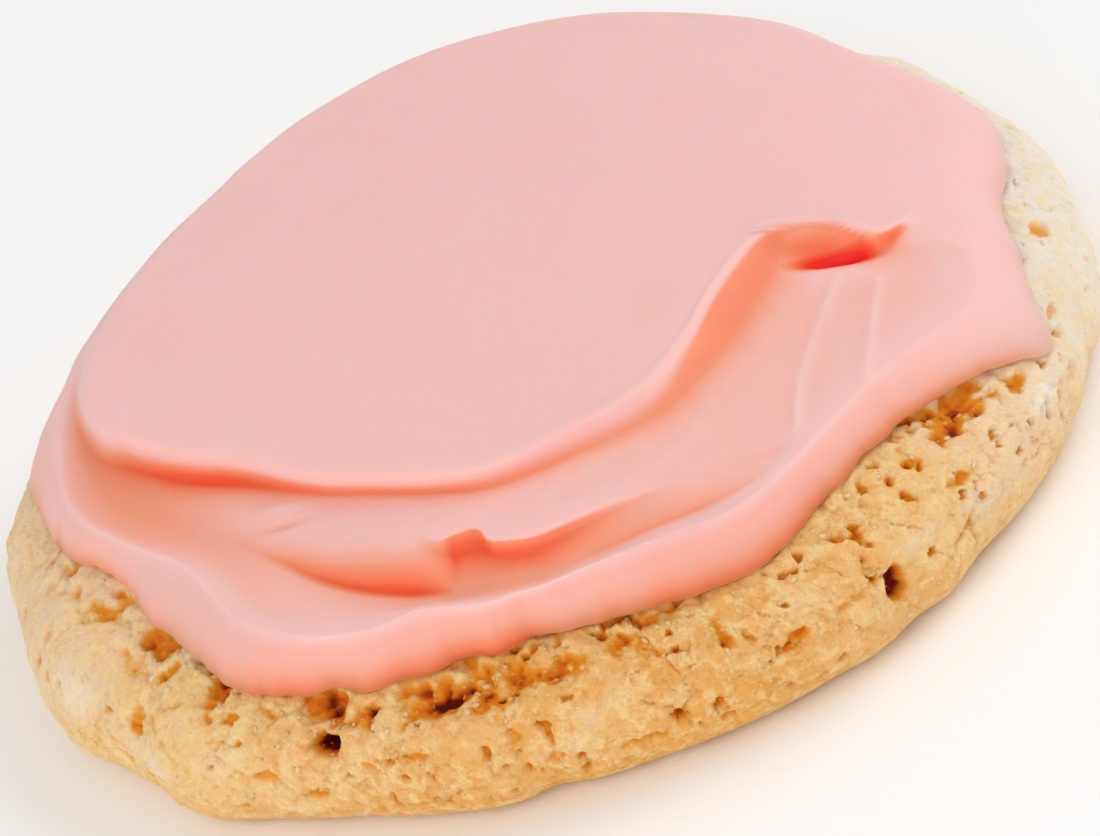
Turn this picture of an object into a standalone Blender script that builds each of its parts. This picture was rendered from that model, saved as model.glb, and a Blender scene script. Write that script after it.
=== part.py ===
"""Iced sugar cookie: a thick round crumbly cookie under one hand-spread coat of soft icing.

Two solids share one set of rings round the middle. The cookie is a flat-footed puck with a
bulging rim and a domed top. The icing sits on the dome with a hairline gap, steps down from a
smooth plateau to a lower skirt, and ends in an uneven rounded lip just over the shoulder.
All lengths are millimetres until a mesh is made, angles are degrees anticlockwise from +X.
"""
import bpy
import numpy as np

MM = 0.001
GAP = 0.3                  # clear space between cookie and icing

# cookie
RIM_RADIUS = 44.5          # widest reach of the bulging side
RIM_HEIGHT = 4.5           # height of that widest line
FOOT_INSET = 4.6           # how far the flat foot lies inside the rim
DOME_HEIGHT = 15.0         # middle of the top
SHOULDER = 3.1             # exponent of the dome: higher is flatter with a tighter shoulder
# slow waves round the rim: how many, size, phase
RIM_WAVES = [(2, 0.35, 8.0), (3, 0.25, 100.0), (5, 0.2, 40.0), (9, 0.16, 12.0), (17, 0.12, 71.0)]
# single lumps and dips of the rim: angle, width, reach
RIM_LUMPS = [(220, 6, 1.4), (196, 11, 1.1), (237, 5, -0.8), (252, 4, 0.3), (256, 3, -0.7),
             (290, 4, 0.8), (299, 3, 0.6), (313, 7, 0.5), (338, 6, 0.6), (12, 15, -1.5),
             (42, 9, -0.8), (65, 9, 0.3), (118, 7, 0.4), (141, 6, -0.6), (160, 8, -0.9)]
# lumps of the crumb: size, how many round the side, radians per mm of height, phase
CRUMB_WAVES = [(0.2, 52, 0.5, 0.0), (0.18, 27, -0.9, 2.0), (0.15, 18, 1.5, 0.7), (0.12, 41, 1.9, 4.0)]
CRUMB_DEPTH = 0.4          # mean depth of the torn surface below the smooth form
LEAST_DEPTH = 0.05         # the highest lump stays this far inside that form
HOLLOW_EDGE = 1.5          # exponent of a hollow's bell: higher has steeper walls
# hollows torn in the crumb: angle, height, half width, half height, depth
HOLLOWS = [(235.7, 8.7, 1.4, 1.2, 2.0), (235.2, 10.3, 2.3, 0.9, 1.1), (221, 11.2, 1.5, 0.8, 0.8),
           (212.3, 9.3, 1.4, 1.5, 0.8), (209.6, 4.9, 1.4, 0.9, 0.5), (251, 10.3, 8.0, 0.9, 0.8),
           (293.3, 5.7, 1.7, 2.2, 1.8), (289.5, 7.2, 3.0, 0.9, 0.7), (209.5, 11.6, 3.2, 0.9, 1.0),
           (185, 11.0, 3.0, 0.9, 1.0), (199.5, 11.3, 3.5, 0.8, 0.7), (255, 6.0, 1.2, 4.0, 0.7),
           (311, 11.0, 4.5, 1.0, 0.9), (265.8, 3.9, 2.2, 1.0, 0.6), (276.5, 9.3, 2.6, 1.0, 0.5),
           (282.6, 6.6, 1.6, 0.9, 0.5), (325, 5.6, 1.8, 1.5, 0.5), (345, 10.4, 2.4, 1.2, 0.7),
           (30, 9.0, 2.8, 1.6, 0.9), (72, 7.5, 2.2, 2.0, 1.0), (105, 10.0, 3.0, 1.2, 0.8),
           (148, 8.5, 2.4, 1.8, 0.9)]

# icing
EDGE_RADIUS = 39.4         # mean line where the icing ends on the dome
EDGE_LOBES = [(166, 7, 1.7), (199, 12, -3.1), (213, 6, -0.7), (229, 7, 1.1), (241, 2.5, 0.5),
              (258, 8, -0.9), (282, 8, 1.4), (303, 8, -0.9), (315, 5, 0.7), (323, 6, 4.1), (332, 5, 1.0),
              (343, 6, -0.7), (4, 8, 1.2), (24, 9, -1.4), (46, 10, -1.0), (70, 12, 0.6),
              (90, 12, 0.8), (118, 10, -0.6), (138, 9, -1.2)]
PLATEAU_HEIGHT = 19.6      # middle of the icing
PLATEAU_FALL = 1.6         # how much lower it is at FALL_RADIUS
PLATEAU_TILT = 0.9         # how much higher or lower again on the side of TILT_ANGLE
FALL_RADIUS = 34.0
TILT_ANGLE = 78.0
SKIRT_HEIGHT = 16.9        # lower skirt, SKIRT_START from the middle
SKIRT_START = 24.0
SKIRT_SLOPE = 0.25
LIP_WIDTH = 1.6            # width of the rounded outer edge
LIP_BULGE = 0.35           # how far the lip leans out past the line where it ends
LIP_FULLNESS = 0.8         # exponent of the lip's fall: lower is fuller
CREST_INSET = 0.6          # middle of the raised crest, inside the step
CREST_SPREAD = 1.2
TORN_STEP = 1.1            # width of the torn ledge's drop
TORN_RECOVERY = 5.0        # distance over which the skirt comes back up below it
ROLL_SPREAD = 1.1          # half width of the outer roll
CHANNEL_SHARE = 0.7        # depth of the channel inside the roll, as a share of the roll
CHANNEL_INSET = 3.0        # how far inside the roll it runs
CHANNEL_SPREAD = 1.8

# crest of the plateau: angle, radius, width of the step down, roll of the crest
PLATEAU_EDGE = [(150, 32.6, 5.0, 0.0), (164, 32.6, 2.8, 0.1), (176, 31.4, 1.5, 0.2),
                (187, 29.6, 0.9, 0.3), (198, 27.7, 0.6, 0.35), (208, 26.0, 0.7, 0.35),
                (222, 24.1, 0.8, 0.35), (237, 23.8, 0.9, 0.3), (251, 24.6, 1.0, 0.3),
                (274, 25.3, 1.2, 0.3), (286, 25.0, 1.4, 0.25), (298, 23.8, 1.6, 0.25),
                (316, 22.7, 1.2, 0.3), (324, 23.2, 0.9, 0.4), (327.5, 25.0, 0.8, 0.4),
                (330, 28.4, 0.8, 0.4), (332.5, 32.4, 1.0, 0.3), (337, 34.8, 2.4, 0.1),
                (350, 34.4, 3.8, 0.0), (10, 33.8, 4.0, 0.0), (35, 33.6, 3.8, 0.0),
                (60, 35.2, 3.4, 0.0), (85, 36.0, 3.2, 0.0), (105, 34.6, 3.6, 0.0),
                (130, 32.6, 4.6, 0.0)]
# second, torn ledge in the skirt: angle, radius, drop
TORN_EDGE = [(200, 28.6, 0.0), (213, 28.3, 0.3), (224, 28.3, 0.7), (233, 28.6, 1.2),
             (243, 29.0, 1.4), (254, 29.0, 1.5), (259, 30.2, 1.5), (264, 30.8, 1.5),
             (272, 31.1, 1.3), (281, 30.8, 0.8), (293, 29.5, 0.0), (322, 33.0, 0.0),
             (340, 36.4, 0.0), (30, 36.2, 0.0), (90, 37.6, 0.0), (160, 35.0, 0.0)]
# raised roll along the outside of the skirt: angle, radius, height
OUTER_ROLL = [(172, 37.4, 0.0), (184, 37.0, 0.4), (191, 35.9, 0.6), (202, 34.8, 0.6),
              (212, 34.2, 0.6), (219, 35.6, 0.7), (226, 37.6, 0.7), (236, 38.4, 0.7),
              (251, 37.4, 0.7), (263, 36.8, 0.6), (272, 37.3, 0.6), (281, 38.6, 0.5),
              (292, 38.2, 0.3), (308, 37.2, 0.2), (324, 41.0, 0.2), (340, 37.4, 0.0),
              (20, 37.8, 0.0), (90, 38.6, 0.0)]
# pocket under the curled crest: angle, radius, half width, half length, depth
CREVICE = (329.0, 28.0, 2.2, 3.2, 0.9)
# least widths of the bands: crest's foot to torn ledge, ledge to outer roll, roll to lip
FOOT_BAND = 0.6
SKIRT_BAND = 2.2
ROLL_BAND = 0.3

# rings and spokes of both meshes
SPOKES = 108
COOKIE_TOP_RINGS = [0.25, 0.5, 0.72, 0.88, 1.0]        # share of the icing's edge radius
COOKIE_SIDE_RINGS = [0.1, 0.24, 0.38, 0.53, 0.7, 0.86, 1.0]  # from the icing's edge to the rim
COOKIE_FOOT_RINGS = [35, 68, 90]                        # degrees round the lower bulge
PLATEAU_RINGS = [0.3, 0.58, 0.8, 0.93]                  # share of the crest radius
LIP_RINGS = [32, 62, 86]                                # degrees round the lip

# finishes: colour, roughness, share of light that passes into the surface
BAKED_CRUMB = ((0.80, 0.51, 0.24), 0.85, 0.2)
BUTTERCREAM = ((0.90, 0.50, 0.46), 0.4, 0.6)
SOFT_DEPTH = 2.0           # how far that light travels inside
SHARP_ANGLE = 55.0         # folds beyond this many degrees stay crisp


def around(angle, table):
    """Smooth closed curves through a table's rows (angle, value, ...), one per value column.

    Between two rows each value follows a cubic that passes both with Catmull-Rom slopes.
    """
    rows = np.array(sorted((row[0] % 360.0,) + tuple(row[1:]) for row in table))
    knots = np.concatenate([rows[-2:, 0] - 360.0, rows[:, 0], rows[:2, 0] + 360.0])
    values = np.concatenate([rows[-2:, 1:], rows[:, 1:], rows[:2, 1:]])
    slopes = np.gradient(values, knots, axis=0)
    angle = np.asarray(angle, float) % 360.0
    i = np.searchsorted(knots, angle, side="right") - 1
    span = knots[i + 1] - knots[i]
    u = (angle - knots[i]) / span
    u, span = u[..., None], span[..., None]
    curve = ((2 * u**3 - 3 * u**2 + 1) * values[i] + (u**3 - 2 * u**2 + u) * span * slopes[i]
             + (3 * u**2 - 2 * u**3) * values[i + 1] + (u**3 - u**2) * span * slopes[i + 1])
    return [curve[..., k] for k in range(curve.shape[-1])]


def turn(angle, centre):
    """Signed difference of two angles, in degrees from -180 to 180."""
    return (angle - centre + 180.0) % 360.0 - 180.0


def lobes(angle, table):
    """Sum of bell curves: reach * exp(-(turn / width)^2) for each (angle, width, reach)."""
    return sum(reach * np.exp(-(turn(angle, at) / width) ** 2) for at, width, reach in table)


def step(x):
    """Smooth step from 0 to 1 as x runs from 0 to 1."""
    x = np.clip(x, 0.0, 1.0)
    return x * x * (3.0 - 2.0 * x)


def bell(x):
    """Bell curve of height 1 at x = 0."""
    return np.exp(-x * x)


def rim_radius(angle):
    """Mean rim plus a few slow waves and lumps."""
    waves = sum(size * np.cos(np.radians(n * angle - phase)) for n, size, phase in RIM_WAVES)
    return RIM_RADIUS + waves + lobes(angle, RIM_LUMPS)


def edge_radius(angle):
    """Distance from the middle at which the icing ends."""
    return EDGE_RADIUS + lobes(angle, EDGE_LOBES)


def dome(radius, rim):
    """Top of the cookie: RIM_HEIGHT + rise * (1 - (radius / rim)^n)^(1/n)."""
    share = np.clip(radius / rim, 0.0, 1.0) ** SHOULDER
    return RIM_HEIGHT + (DOME_HEIGHT - RIM_HEIGHT) * (1.0 - share) ** (1.0 / SHOULDER)


def dome_normal(radius, rim):
    """Outward and upward parts of the dome's unit normal."""
    rise = DOME_HEIGHT - RIM_HEIGHT
    out = (radius / rim) ** (SHOULDER - 1.0) / rim
    up = ((dome(radius, rim) - RIM_HEIGHT) / rise) ** (SHOULDER - 1.0) / rise
    length = np.hypot(out, up)
    return out / length, up / length


def crumb(angle, height):
    """How far the torn side lies inside its smooth form: low waves for lumps, bells for hollows."""
    lumps = sum(size * np.sin(np.radians(count * angle) + climb * height + phase)
                for size, count, climb, phase in CRUMB_WAVES)
    depth = np.maximum(CRUMB_DEPTH - lumps, LEAST_DEPTH)
    for at, level, half_width, half_height, deep in HOLLOWS:
        across = np.radians(turn(angle, at)) * RIM_RADIUS / half_width
        up = (height - level) / half_height
        depth = depth + deep * np.exp(-(across**2 + up**2) ** HOLLOW_EDGE)
    return depth


def cookie_rings(angle):
    """Rings of the cookie from the middle of the top, over the side, to the edge of the foot.

    On the side a ring lies at radius rim * cos(b)^(2/n) and height rise * sin(b)^(2/n) above
    the rim line, moved inwards along the normal by the crumb's depth. Below the rim it turns
    in round a quarter circle to the foot.
    """
    rim, edge = rim_radius(angle), edge_radius(angle)
    rise = DOME_HEIGHT - RIM_HEIGHT
    rings = [(edge * share, dome(edge * share, rim)) for share in COOKIE_TOP_RINGS]
    start = np.arccos(np.clip(edge / rim, 0.0, 1.0) ** (SHOULDER / 2.0))
    for share in COOKIE_SIDE_RINGS:
        b = start * (1.0 - share)
        radius = rim * np.cos(b) ** (2.0 / SHOULDER)
        height = RIM_HEIGHT + rise * np.sin(b) ** (2.0 / SHOULDER)
        out, up = dome_normal(radius, rim)
        depth = crumb(angle, height)
        rings.append((radius - out * depth, height - up * depth))
    for degrees in COOKIE_FOOT_RINGS:
        a = np.radians(degrees)
        fade = np.cos(a)
        radius = rim - FOOT_INSET * (1.0 - np.cos(a))
        height = RIM_HEIGHT * (1.0 - np.sin(a))
        rings.append((radius - fade * crumb(angle, height), height))
    return rings


def icing_height(angle, radius):
    """Top of the icing: a domed plateau and a sloping skirt, joined by the step of the crest.

    height = plateau + (skirt - plateau) * step(d / width) + rolls - ledges, where d is the
    distance outwards from the crest. The torn ledge drops and recovers over a few mm.
    """
    crest, width, roll = around(angle, PLATEAU_EDGE)
    torn, drop = around(angle, TORN_EDGE)
    outer, rise = around(angle, OUTER_ROLL)
    share = radius / FALL_RADIUS
    plateau = PLATEAU_HEIGHT - PLATEAU_FALL * share**2
    plateau = plateau + PLATEAU_TILT * share * np.cos(np.radians(angle - TILT_ANGLE))
    skirt = SKIRT_HEIGHT - SKIRT_SLOPE * (radius - SKIRT_START)
    height = plateau + (np.minimum(skirt, plateau) - plateau) * step((radius - crest) / width)
    height = height + roll * bell((radius - crest + CREST_INSET) / CREST_SPREAD)
    past = radius - torn
    height = height - drop * step(past / TORN_STEP) * np.exp(-np.maximum(past, 0.0) / TORN_RECOVERY)
    channel = CHANNEL_SHARE * bell((radius - outer + CHANNEL_INSET) / CHANNEL_SPREAD)
    height = height + rise * (bell((radius - outer) / ROLL_SPREAD) - channel)
    at, reach, half_width, half_length, deep = CREVICE
    across = np.radians(turn(angle, at)) * radius / half_width
    return height - deep * bell(np.hypot(across, (radius - reach) / half_length))


def icing_rings(angle):
    """Rings of the icing: over the plateau, crest, skirt and lip, then back under the coat."""
    rim, edge = rim_radius(angle), edge_radius(angle)
    crest, width = around(angle, PLATEAU_EDGE)[:2]
    torn, outer = around(angle, TORN_EDGE)[0], around(angle, OUTER_ROLL)[0]
    inner = edge - LIP_WIDTH
    foot = crest + width
    torn = np.clip(torn, foot + FOOT_BAND, inner - SKIRT_BAND - ROLL_BAND)
    foot = np.minimum(foot, torn - FOOT_BAND)
    outer = np.clip(outer, torn + SKIRT_BAND, inner - ROLL_BAND)
    lines = [crest * share for share in PLATEAU_RINGS] + [crest - CREST_INSET, crest, foot]
    lines += [(foot + torn) / 2, torn, torn + TORN_STEP, (torn + outer) / 2]
    lines += [outer - ROLL_SPREAD, outer, inner]
    lines = np.maximum.accumulate(np.array(lines), axis=0)
    rings = [(radius, icing_height(angle, radius)) for radius in lines]
    out, up = dome_normal(edge, rim)
    end = (edge + GAP * out, dome(edge, rim) + GAP * up)
    shoulder = rings[-1][1]
    for degrees in LIP_RINGS:
        a = np.radians(degrees)
        radius = inner + (end[0] - inner) * np.sin(a) + LIP_BULGE * np.sin(a) ** 4
        rings.append((radius, end[1] + (shoulder - end[1]) * np.cos(a) ** LIP_FULLNESS))
    rings.append(end)
    for share in COOKIE_TOP_RINGS[-2::-1]:
        radius = edge * share
        out, up = dome_normal(radius, rim)
        rings.append((radius + GAP * out, dome(radius, rim) + GAP * up))
    return rings


def turned_mesh(name, rings, top, bottom, angle):
    """Closed mesh from rings given top to bottom, with a point at each end of the axis.

    Every four-sided patch is split the same way, from spoke j on its inner ring to spoke k on
    its outer one, so that two surfaces on the same rings stay parallel.
    """
    spokes = len(angle)
    c, s = np.cos(np.radians(angle)), np.sin(np.radians(angle))
    points = [np.stack([r * c, r * s, np.broadcast_to(z, r.shape)], -1) for r, z in rings]
    points = np.concatenate(points + [np.array([[0.0, 0.0, top], [0.0, 0.0, bottom]])])
    reach = [radius.mean() for radius, height in rings]
    j = np.arange(spokes)
    k = (j + 1) % spokes
    faces = []
    for i in range(len(rings) - 1):
        a, b = i * spokes, (i + 1) * spokes
        if reach[i] < reach[i + 1]:
            faces += [np.stack([a + j, b + j, b + k], 1), np.stack([a + j, b + k, a + k], 1)]
        else:
            faces += [np.stack([a + j, b + j, a + k], 1), np.stack([b + j, b + k, a + k], 1)]
    first, last = len(points) - 2, len(points) - 1
    end = (len(rings) - 1) * spokes
    faces.append(np.stack([np.full(spokes, first), j, k], 1))
    faces.append(np.stack([np.full(spokes, last), end + k, end + j], 1))
    mesh = bpy.data.meshes.new(name)
    mesh.from_pydata((points * MM).tolist(), [], np.concatenate(faces).tolist())
    mesh.update()
    return mesh


def finish(name, colour, roughness, soft):
    """Principled material for one sub-part; soft is the share of light that passes into it."""
    material = bpy.data.materials.new(name)
    material.use_nodes = True
    shader = material.node_tree.nodes["Principled BSDF"]
    shader.inputs["Base Color"].default_value = (*colour, 1.0)
    shader.inputs["Roughness"].default_value = roughness
    shader.inputs["Metallic"].default_value = 0.0
    shader.inputs["Subsurface Weight"].default_value = soft
    shader.inputs["Subsurface Scale"].default_value = SOFT_DEPTH * MM
    return material


def add_part(name, mesh, material):
    mesh.materials.append(material)
    mesh.shade_smooth()
    mesh.set_sharp_from_angle(angle=np.radians(SHARP_ANGLE))
    part = bpy.data.objects.new(name, mesh)
    bpy.context.scene.collection.objects.link(part)
    return part


def centre_on_foot(meshes):
    """Shift all parts alike so that their common box stands centred over the origin."""
    points = []
    for mesh in meshes:
        flat = np.empty(3 * len(mesh.vertices), np.float32)
        mesh.vertices.foreach_get("co", flat)
        points.append(flat.reshape(-1, 3))
    low = np.min([p.min(axis=0) for p in points], axis=0)
    high = np.max([p.max(axis=0) for p in points], axis=0)
    shift = np.array([(low[0] + high[0]) / 2, (low[1] + high[1]) / 2, 0.0])
    for mesh, p in zip(meshes, points):
        mesh.vertices.foreach_set("co", (p - shift).astype(np.float32).ravel())
        mesh.update()


def main():
    for old in list(bpy.data.objects):
        bpy.data.objects.remove(old, do_unlink=True)
    angle = np.arange(SPOKES) * 360.0 / SPOKES
    cookie = turned_mesh("cookie", cookie_rings(angle), DOME_HEIGHT, 0.0, angle)
    icing = turned_mesh("icing", icing_rings(angle), PLATEAU_HEIGHT, DOME_HEIGHT + GAP, angle)
    centre_on_foot([cookie, icing])
    add_part("cookie", cookie, finish("baked_crumb", *BAKED_CRUMB))
    add_part("icing", icing, finish("buttercream", *BUTTERCREAM))


main()
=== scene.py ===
import itertools
import math

import bpy
import numpy as np
from mathutils import Matrix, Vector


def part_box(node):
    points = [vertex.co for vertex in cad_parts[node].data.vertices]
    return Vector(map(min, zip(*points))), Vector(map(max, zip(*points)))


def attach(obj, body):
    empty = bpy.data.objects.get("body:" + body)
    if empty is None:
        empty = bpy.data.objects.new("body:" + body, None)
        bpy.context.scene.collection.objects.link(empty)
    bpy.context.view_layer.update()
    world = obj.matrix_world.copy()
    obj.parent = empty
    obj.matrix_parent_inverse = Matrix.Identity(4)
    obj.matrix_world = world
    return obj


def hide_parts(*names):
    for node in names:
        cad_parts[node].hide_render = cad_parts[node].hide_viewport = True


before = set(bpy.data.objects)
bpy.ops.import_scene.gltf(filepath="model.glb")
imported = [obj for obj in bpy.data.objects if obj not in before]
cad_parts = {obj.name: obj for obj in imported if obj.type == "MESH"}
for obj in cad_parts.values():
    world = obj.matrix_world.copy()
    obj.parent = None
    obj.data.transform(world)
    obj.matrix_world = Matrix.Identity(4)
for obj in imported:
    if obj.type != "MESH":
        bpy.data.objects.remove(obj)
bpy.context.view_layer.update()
cookieLow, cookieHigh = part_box("cookie")
icingLow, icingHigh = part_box("icing")
mm = 0.001                    # lengths below are millimetres, angles degrees anticlockwise from +X
print("frame: cookie and icing loaded")


form = {
    "middle": (0.25, 0.07),                # axis of the round form
    "rimRadius": 44.5, "rimHeight": 4.5,   # widest line of the side
    "footInset": 4.6,
    "domeHeight": cookieHigh.z / mm,
    "shoulder": 3.1,                       # exponent of the dome, higher is flatter on top
    "rimWaves": [(2, 0.35, 8), (3, 0.25, 100), (5, 0.2, 40), (9, 0.16, 12), (17, 0.12, 71)],
    "rimLumps": [(220, 6, 1.4), (196, 11, 1.1), (237, 5, -0.8), (252, 4, 0.3), (256, 3, -0.7),
                 (290, 4, 0.8), (299, 3, 0.6), (313, 7, 0.5), (338, 6, 0.6), (12, 15, -1.5),
                 (42, 9, -0.8), (65, 9, 0.3), (118, 7, 0.4), (141, 6, -0.6), (160, 8, -0.9)],
    "edgeRadius": 39.4,                    # mean line where the icing ends
    "edgeLobes": [(166, 7, 1.7), (199, 12, -3.1), (213, 6, -0.7), (229, 7, 1.1), (241, 2.5, 0.5),
                  (258, 8, -0.9), (282, 8, 1.4), (303, 8, -0.9), (315, 5, 0.7), (323, 6, 4.1),
                  (332, 5, 1.0), (343, 6, -0.7), (4, 8, 1.2), (24, 9, -1.4), (46, 10, -1.0),
                  (70, 12, 0.6), (90, 12, 0.8), (118, 10, -0.6), (138, 9, -1.2)],
}


def turn(angle, at):
    # signed difference of two angles, from -180 to 180
    return (angle - at + 180) % 360 - 180


def lobes(angle, rows):
    # sum of bells round the form: reach * exp(-(turn / width)^2)
    return sum(reach * np.exp(-(turn(angle, at) / width) ** 2) for at, width, reach in rows)


def ease(x):
    # smooth step from 0 to 1: 3x^2 - 2x^3
    x = np.clip(x, 0, 1)
    return x * x * (3 - 2 * x)


def bell(x):
    # exp(-x^2)
    return np.exp(-x * x)


def around(angle, rows):
    # closed curves through rows (angle, value, ...): between two rows a cubic with Catmull-Rom slopes
    rows = np.array(sorted((row[0] % 360,) + tuple(row[1:]) for row in rows), float)
    knots = np.concatenate([rows[-2:, 0] - 360, rows[:, 0], rows[:2, 0] + 360])
    values = np.concatenate([rows[-2:, 1:], rows[:, 1:], rows[:2, 1:]])
    slopes = np.gradient(values, knots, axis=0)
    angle = np.asarray(angle, float) % 360
    i = np.searchsorted(knots, angle, side="right") - 1
    span = (knots[i + 1] - knots[i])[..., None]
    u = (angle - knots[i])[..., None] / span
    curve = ((2 * u**3 - 3 * u**2 + 1) * values[i] + (u**3 - 2 * u**2 + u) * span * slopes[i]
             + (3 * u**2 - 2 * u**3) * values[i + 1] + (u**3 - u**2) * span * slopes[i + 1])
    return [curve[..., k] for k in range(curve.shape[-1])]


def smoothPath(rows, closed, steps=8):
    # Catmull-Rom curve through the rows, steps pieces between two rows; all columns go along
    rows = np.array(rows, float)
    if closed:
        padded = np.concatenate([rows[-1:], rows, rows[:2]])
    else:
        padded = np.concatenate([2 * rows[:1] - rows[1:2], rows, 2 * rows[-1:] - rows[-2:-1]])
    u = (np.arange(steps) / steps)[None, :, None]
    a, b, c, d = (padded[k:len(padded) - 3 + k, None, :] for k in range(4))
    curve = 0.5 * (2 * b + (c - a) * u + (2 * a - 5 * b + 4 * c - d) * u**2
                   + (3 * b - a - 3 * c + d) * u**3)
    curve = curve.reshape(-1, rows.shape[1])
    return np.concatenate([curve, curve[:1] if closed else rows[-1:]])


def alongPath(x, y, path, chunk=4000):
    # nearest point of a path for each (x, y): distance, positive on the path's right hand side,
    # the path's further columns there, and the unit direction from the path towards that side
    a, b = path[:-1, :2], path[1:, :2]
    run = b - a
    length2 = (run**2).sum(1)
    side = np.stack([run[:, 1], -run[:, 0]], 1) / np.sqrt(length2)[:, None]
    corner = np.concatenate([side[:1], (side[:-1] + side[1:]) / 2, side[-1:]])
    points = np.stack([x, y], 1)
    found = []
    for start in range(0, len(points), chunk):
        p = points[start:start + chunk]
        t = ((p[:, None] - a[None]) * run).sum(2) / length2
        t = np.clip(t, 0, 1)
        gap = p[:, None] - a[None] - t[..., None] * run
        far = (gap**2).sum(2)
        k = far.argmin(1)
        n = np.arange(len(p))
        off = gap[n, k]
        sign = np.where((off * side[k]).sum(1) >= 0, 1.0, -1.0)
        more = path[k, 2:] + t[n, k][:, None] * (path[k + 1, 2:] - path[k, 2:])
        share = t[n, k][:, None]
        found.append(np.concatenate([(sign * np.sqrt(far[n, k]))[:, None],
                                     corner[k] * (1 - share) + corner[k + 1] * share, more], 1))
    found = np.concatenate(found)
    return found[:, 0], found[:, 1:3], found[:, 3:].T


def lattice(i, salt):
    # a fixed number from 0 to 1 for each whole-number point, mixed by multiplying and shifting bits
    h = (i[..., 0] * 374761393 + i[..., 1] * 668265263 + i[..., 2] * 1440662683
         + salt * 974711) & 0xFFFFFFFF
    h = ((h ^ (h >> 13)) * 1274126177) & 0xFFFFFFFF
    return ((h ^ (h >> 16)) & 0xFFFF) / 65535.0


def softNoise(points, size, salt):
    # smooth noise from -1 to 1: lattice numbers blended by smooth steps, one cell is size mm
    q = points / size
    i = np.floor(q).astype(np.int64)
    f = q - i
    f = f * f * f * (f * (6 * f - 15) + 10)
    total = np.zeros(len(points))
    for corner in itertools.product((0, 1), repeat=3):
        weight = np.prod(np.where(corner, f, 1 - f), axis=1)
        total += weight * lattice(i + np.array(corner), salt)
    return 2 * total - 1


def grains(points, size, salt):
    # cells of about size mm: distance to the nearest and second nearest centre, the cell's own
    # number from 0 to 1, and how far along the cell's own direction the point lies
    q = points / size
    i = np.floor(q).astype(np.int64)
    near = np.full(len(points), 9.0)
    second = near.copy()
    own, slope = np.zeros(len(points)), np.zeros(len(points))
    for corner in itertools.product((-1, 0, 1), repeat=3):
        cell = i + np.array(corner)
        centre = cell + np.stack([lattice(cell, salt + k) for k in range(3)], 1)
        away = q - centre
        far = np.sqrt((away**2).sum(1))
        closer = far < near
        second = np.where(closer, near, np.minimum(second, far))
        lean = np.stack([lattice(cell, salt + k) for k in (3, 4, 5)], 1) * 2 - 1
        slope = np.where(closer, (away * lean).sum(1), slope)
        own = np.where(closer, lattice(cell, salt + 6), own)
        near = np.where(closer, far, near)
    return near * size, second * size, own, slope * size


def rimRadius(angle):
    # mean rim plus slow waves and lumps
    waves = sum(size * np.cos(np.radians(n * angle - phase)) for n, size, phase in form["rimWaves"])
    return form["rimRadius"] + waves + lobes(angle, form["rimLumps"])


def edgeRadius(angle):
    return form["edgeRadius"] + lobes(angle, form["edgeLobes"])


def dome(radius, rim):
    # top of the cookie: rim height + rise * (1 - (radius / rim)^n)^(1/n)
    n = form["shoulder"]
    share = np.clip(radius / rim, 0, 1) ** n
    return form["rimHeight"] + (form["domeHeight"] - form["rimHeight"]) * (1 - share) ** (1 / n)


def domeNormal(radius, rim):
    # outward and upward parts of the dome's unit normal
    n = form["shoulder"]
    rise = form["domeHeight"] - form["rimHeight"]
    out = (radius / rim) ** (n - 1) / rim
    up = ((dome(radius, rim) - form["rimHeight"]) / rise) ** (n - 1) / rise
    length = np.hypot(out, up)
    return out / length, up / length


def ringQuads(first, count, spokes):
    # four-sided faces between neighbouring rings of points that are numbered from first
    j = np.arange(spokes)
    k = (j + 1) % spokes
    row = first + np.arange(count - 1)[:, None] * spokes
    return np.stack([row + j, row + spokes + j, row + spokes + k, row + k], -1).reshape(-1, 4)


def turned(name, rings, top, bottom, values):
    # closed mesh from rings of points, each ring from the top pole to the bottom pole; values are
    # number layers on the points, with one more number for each pole
    count, spokes = rings.shape[:2]
    points = np.concatenate([rings.reshape(-1, 3), [top], [bottom]]) * mm
    quads = ringQuads(0, count, spokes)
    j = np.arange(spokes)
    k = (j + 1) % spokes
    poleTop, poleBottom = count * spokes, count * spokes + 1
    last = (count - 1) * spokes
    caps = np.concatenate([np.stack([np.full(spokes, poleTop), j, k], 1),
                           np.stack([np.full(spokes, poleBottom), last + k, last + j], 1)])
    return meshObject(name, points, [quads, caps], values)


def spokeAngles(count, crowding):
    # angles all round, closer together on the side of the fold: even angle - crowding * sine
    angle = np.arange(count) * 360 / count
    return np.sort((angle - crowding * np.sin(np.radians(angle - 268))) % 360)


def meshObject(name, points, faceGroups, values, smooth=True):
    # object from arrays: points in metres and groups of faces that have the same number of corners
    mesh = bpy.data.meshes.new(name)
    corners = np.concatenate([faces.ravel() for faces in faceGroups])
    sizes = np.concatenate([np.full(len(faces), faces.shape[1]) for faces in faceGroups])
    starts = np.concatenate([[0], np.cumsum(sizes)[:-1]])
    mesh.vertices.add(len(points))
    mesh.vertices.foreach_set("co", points.astype(np.float32).ravel())
    mesh.loops.add(len(corners))
    mesh.loops.foreach_set("vertex_index", corners.astype(np.int32))
    mesh.polygons.add(len(sizes))
    mesh.polygons.foreach_set("loop_start", starts.astype(np.int32))
    mesh.update(calc_edges=True)
    mesh.validate()
    if smooth:
        mesh.shade_smooth()
    for layer, numbers in values.items():
        mesh.attributes.new(layer, "FLOAT", "POINT").data.foreach_set("value", numbers.astype(np.float32))
    piece = bpy.data.objects.new(name, mesh)
    bpy.context.scene.collection.objects.link(piece)
    return piece


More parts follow.
